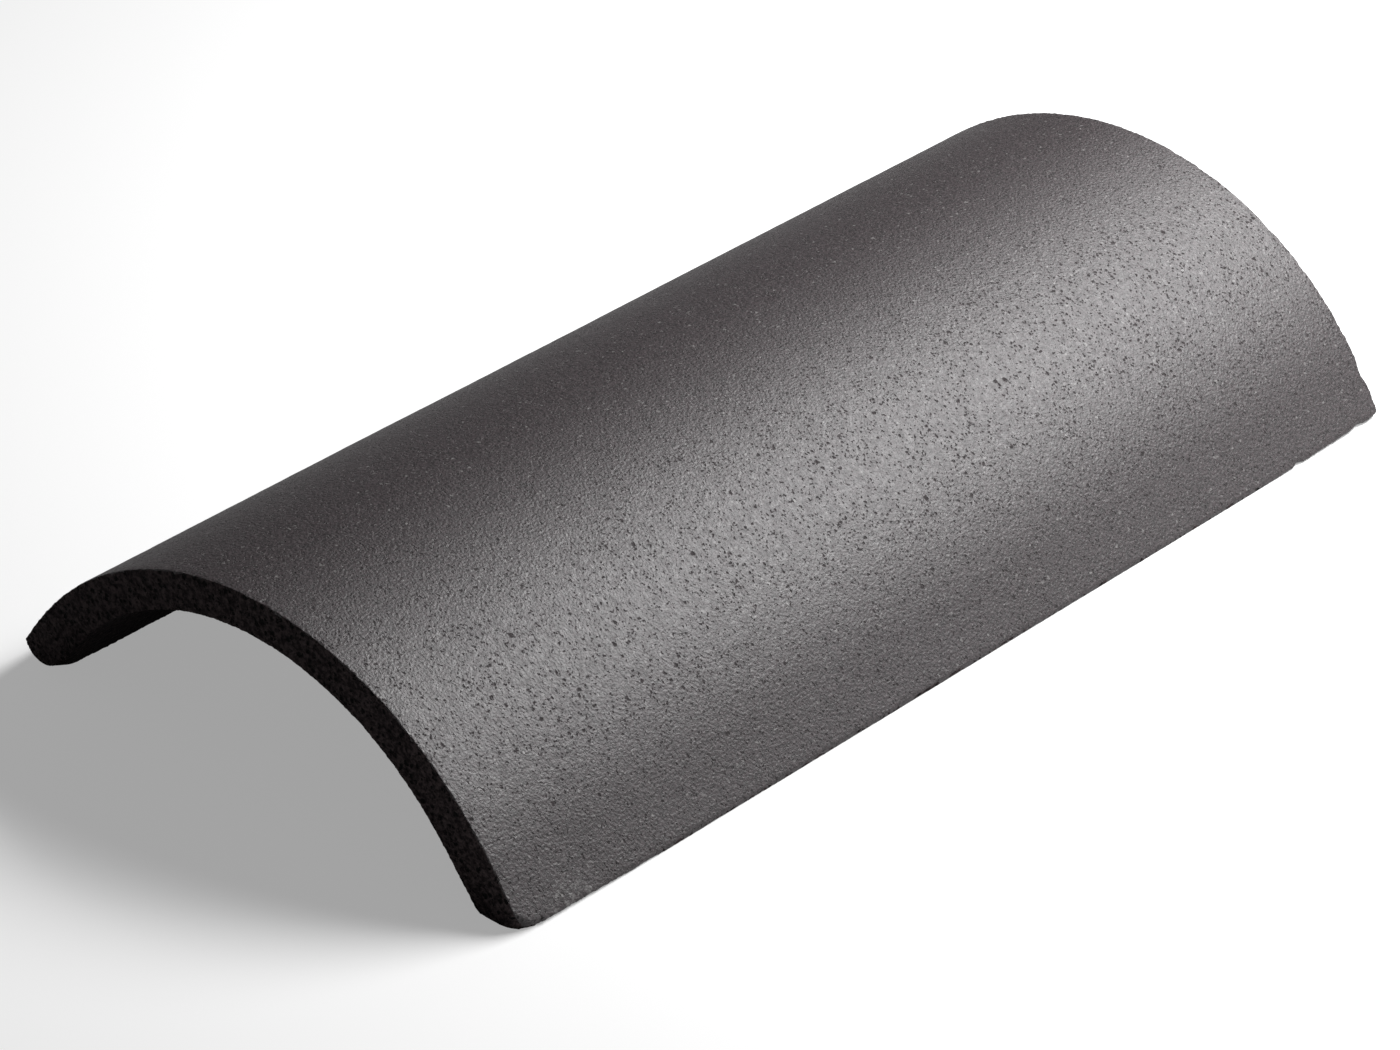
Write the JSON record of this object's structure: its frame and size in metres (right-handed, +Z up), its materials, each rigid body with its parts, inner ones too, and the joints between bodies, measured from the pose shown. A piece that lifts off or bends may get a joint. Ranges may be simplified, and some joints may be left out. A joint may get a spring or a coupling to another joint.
{
  "type": "clay roof tile",
  "caption": "Arched clay ridge tile of even section, open underneath from end to end, that rests on two flat feet along its sides.",
  "frame": {"origin": "on the ground under the middle of the tile, midway between the two feet and the two end faces", "axes": "+Y along the ridge, +X across the arch, +Z up through the crown; the end nearest the viewer of the picture is -Y"},
  "size_m": [0.2392, 0.45, 0.075],
  "materials": {
    "fired_clay": "charcoal grey, sandy and finely pitted, with a low satin sheen on the weathered face"
  },
  "bodies": {
    "root": {"ridge_tile": "fired_clay"}
  },
  "joints": []
}
